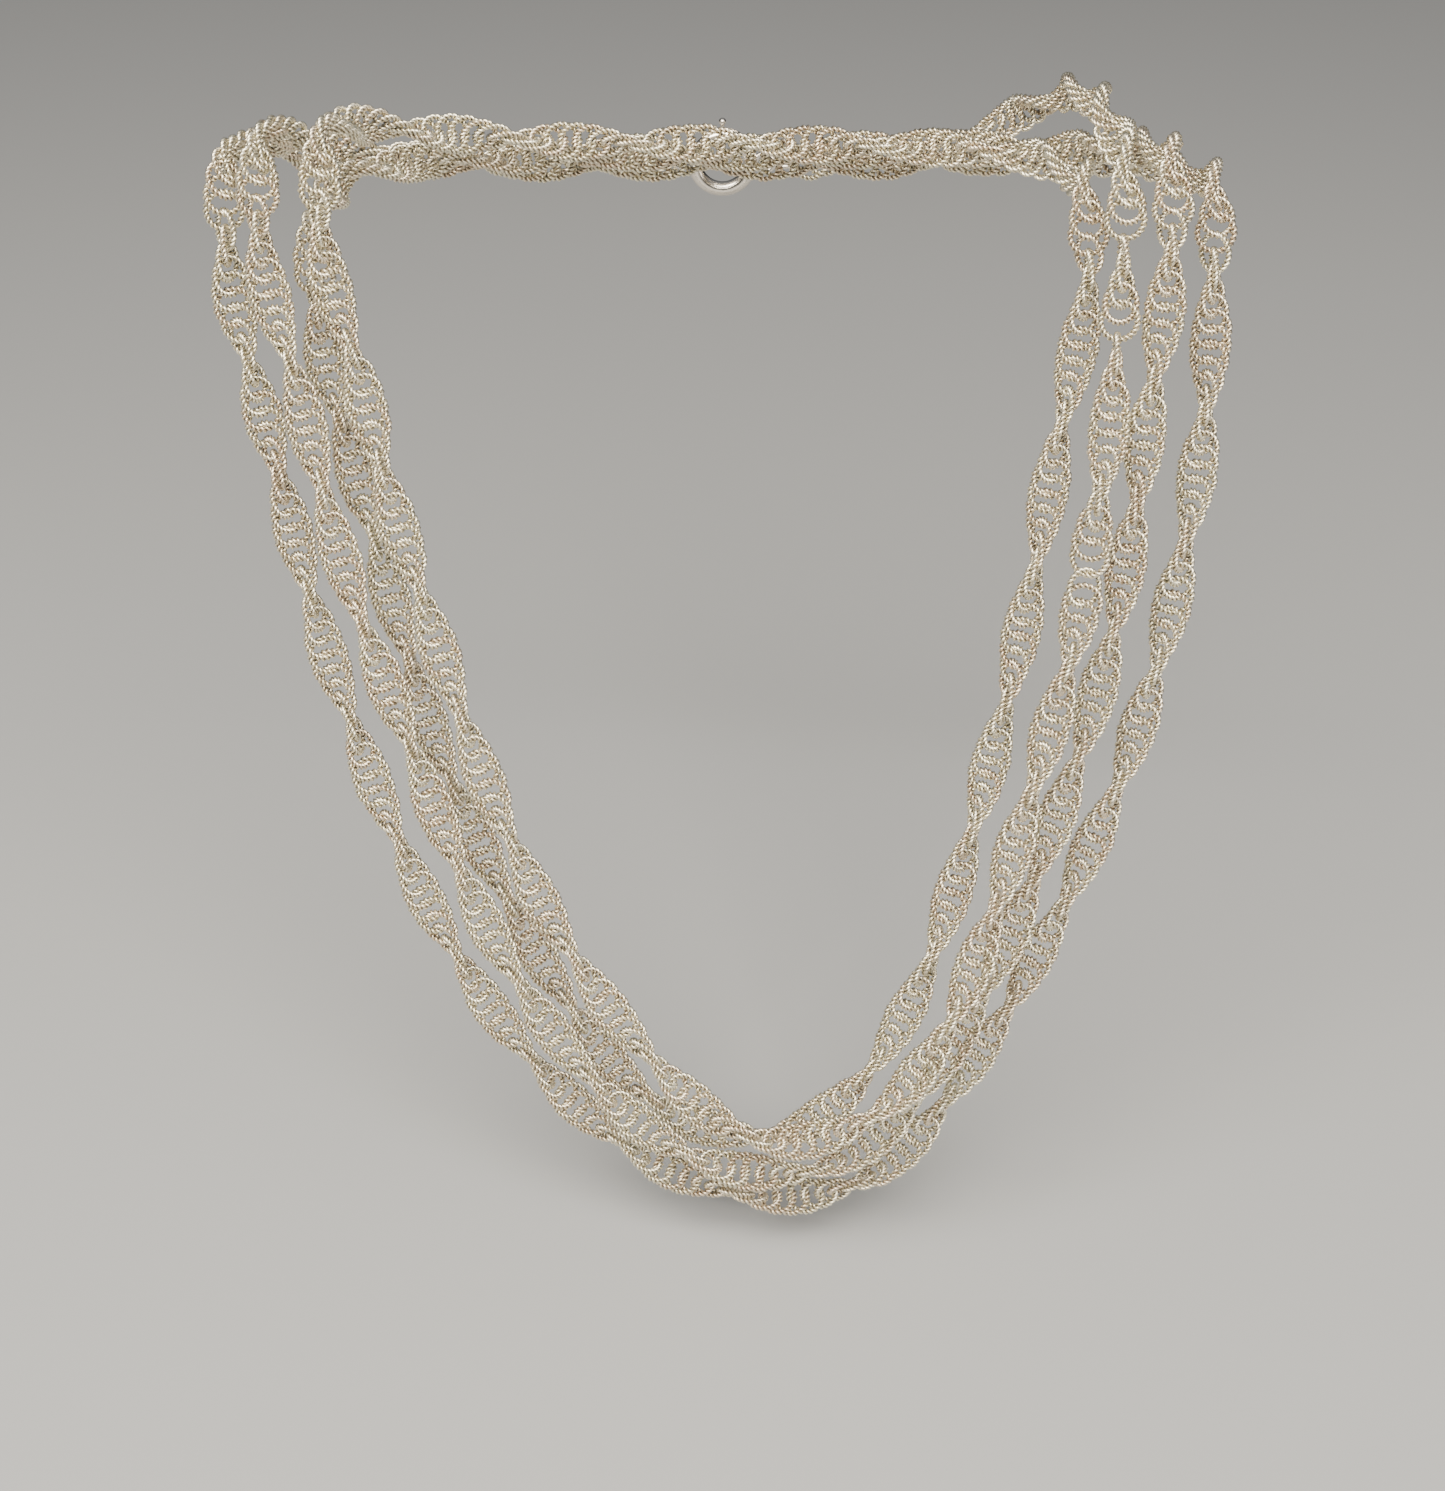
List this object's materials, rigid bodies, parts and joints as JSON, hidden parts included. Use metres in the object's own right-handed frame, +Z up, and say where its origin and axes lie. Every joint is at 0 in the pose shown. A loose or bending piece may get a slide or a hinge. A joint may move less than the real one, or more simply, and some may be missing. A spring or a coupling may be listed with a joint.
{
  "type": "necklace",
  "caption": "Long silver-tone rope chain of twisted wire rings worn as four strands, each strand free to lift at the shoulders, closed by a spring-ring clasp behind the neck",
  "frame": {"origin": "the middle of the neck opening, level with the links from which the strands hang", "axes": "+Z up, +X across from the strands' left ends to their right ends as seen from the front, -Y to the front"},
  "size_m": [0.1507, 0.1112, 0.1715],
  "materials": {
    "chain_wire": "polished",
    "plain_rings": "polished",
    "clasp_shell": "polished",
    "clasp_tongue": "polished",
    "spring_steel": "brushed"
  },
  "bodies": {
    "neck_chain": {"back_clasp_run_left": "chain_wire", "back_clasp_run_right": "chain_wire", "back_outer_to_second_left": "chain_wire", "back_outer_to_second_right": "chain_wire", "back_second_to_third_left": "chain_wire", "back_second_to_third_right": "chain_wire", "back_third_to_inner_left": "chain_wire", "back_third_to_inner_right": "chain_wire", "catch_ring": "plain_rings", "inner_shoulder_rings": "chain_wire", "jump_ring": "plain_rings", "outer_shoulder_rings": "chain_wire", "second_shoulder_rings": "chain_wire", "third_shoulder_rings": "chain_wire"},
    "outer_strand": {"outer_strand_hook_rings": "chain_wire", "outer_strand_run_a": "chain_wire", "outer_strand_run_b": "chain_wire", "outer_strand_run_c": "chain_wire", "outer_strand_run_d": "chain_wire"},
    "second_strand": {"second_strand_hook_rings": "chain_wire", "second_strand_run_a": "chain_wire", "second_strand_run_b": "chain_wire", "second_strand_run_c": "chain_wire", "second_strand_run_d": "chain_wire"},
    "third_strand": {"third_strand_hook_rings": "chain_wire", "third_strand_run_a": "chain_wire", "third_strand_run_b": "chain_wire", "third_strand_run_c": "chain_wire", "third_strand_run_d": "chain_wire"},
    "inner_strand": {"inner_strand_hook_rings": "chain_wire", "inner_strand_run_a": "chain_wire", "inner_strand_run_b": "chain_wire", "inner_strand_run_c": "chain_wire", "inner_strand_run_d": "chain_wire", "inner_strand_run_e": "chain_wire", "inner_strand_run_f": "chain_wire"},
    "clasp": {"clasp_barrel": "clasp_shell", "clasp_spring": "spring_steel"},
    "clasp_tongue": {"clasp_tongue": "clasp_tongue"}
  },
  "joints": [
    {"name": "inner_lift", "type": "hinge", "parent": "neck_chain", "child": "inner_strand", "pos_m": [-0.0576, -0.00497, 0.00547], "axis": [-0.9993, 0.0076, 0.0356], "range_deg": [0, 30]},
    {"name": "second_lift", "type": "hinge", "parent": "neck_chain", "child": "second_strand", "pos_m": [-0.0664, -0.00516, 0.00459], "axis": [-0.9999, 0.0029, 0.0135], "range_deg": [0, 27.6]},
    {"name": "outer_lift", "type": "hinge", "parent": "neck_chain", "child": "outer_strand", "pos_m": [-0.0723, 0.00013, 0.00061], "axis": [-0.9998, 0.0046, 0.0217], "range_deg": [0, 25.2]},
    {"name": "third_lift", "type": "hinge", "parent": "neck_chain", "child": "third_strand", "pos_m": [-0.0593, -0.00176, -0.0083], "axis": [-0.9988, -0.0103, -0.0485], "range_deg": [0, 25.2]},
    {"name": "clasp_swivel", "type": "hinge", "parent": "neck_chain", "child": "clasp", "pos_m": [0, 0.063, -0.01], "axis": [1, 0, 0], "range_deg": [-25, 25]},
    {"name": "tongue_slide", "type": "hinge", "parent": "clasp", "child": "clasp_tongue", "pos_m": [0, 0.063, -0.01], "axis": [0, 1, 0], "range_deg": [0, 50], "stiffness_Nm_per_rad": 0.0006, "springref_deg": -28.65, "deforming": ["clasp_spring"]}
  ],
  "couplings": [
    {"joint": "second_lift", "follows": "inner_lift", "ratio": 0.92},
    {"joint": "outer_lift", "follows": "inner_lift", "ratio": 0.84},
    {"joint": "third_lift", "follows": "inner_lift", "ratio": 0.84}
  ]
}
